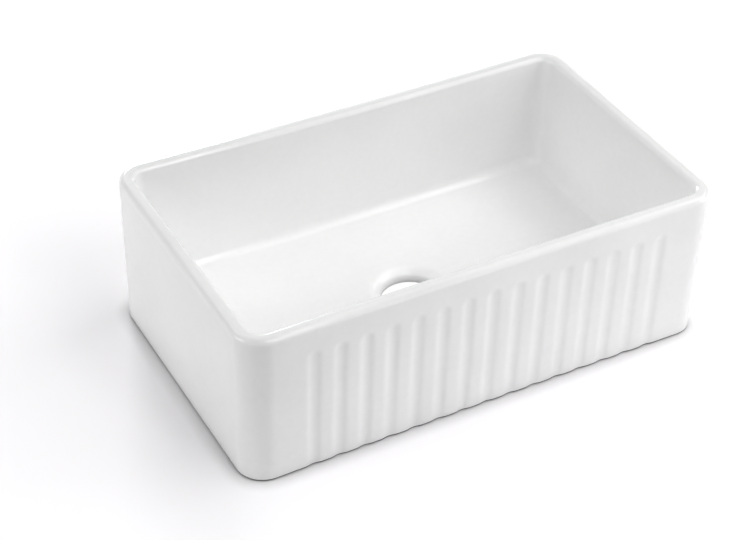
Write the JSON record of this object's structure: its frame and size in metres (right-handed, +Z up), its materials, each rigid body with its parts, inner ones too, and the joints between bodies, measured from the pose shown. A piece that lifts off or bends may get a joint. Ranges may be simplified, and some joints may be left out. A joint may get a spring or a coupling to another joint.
{
  "type": "apron front kitchen sink",
  "caption": "Farmhouse apron-front sink: thick-walled rectangular bowl with rolled rim, fluted apron, floor falling to a round central outlet, and a hollow underside inside a foot.",
  "frame": {"origin": "centre of the foot, on the plane the sink stands on", "axes": "+X to the right along the apron, -Y out of the fluted apron, +Z up towards the rim"},
  "size_m": [0.7618, 0.4548, 0.251],
  "materials": {
    "glazed_fireclay": "gloss"
  },
  "bodies": {
    "root": {"basin": "glazed_fireclay"}
  },
  "joints": []
}
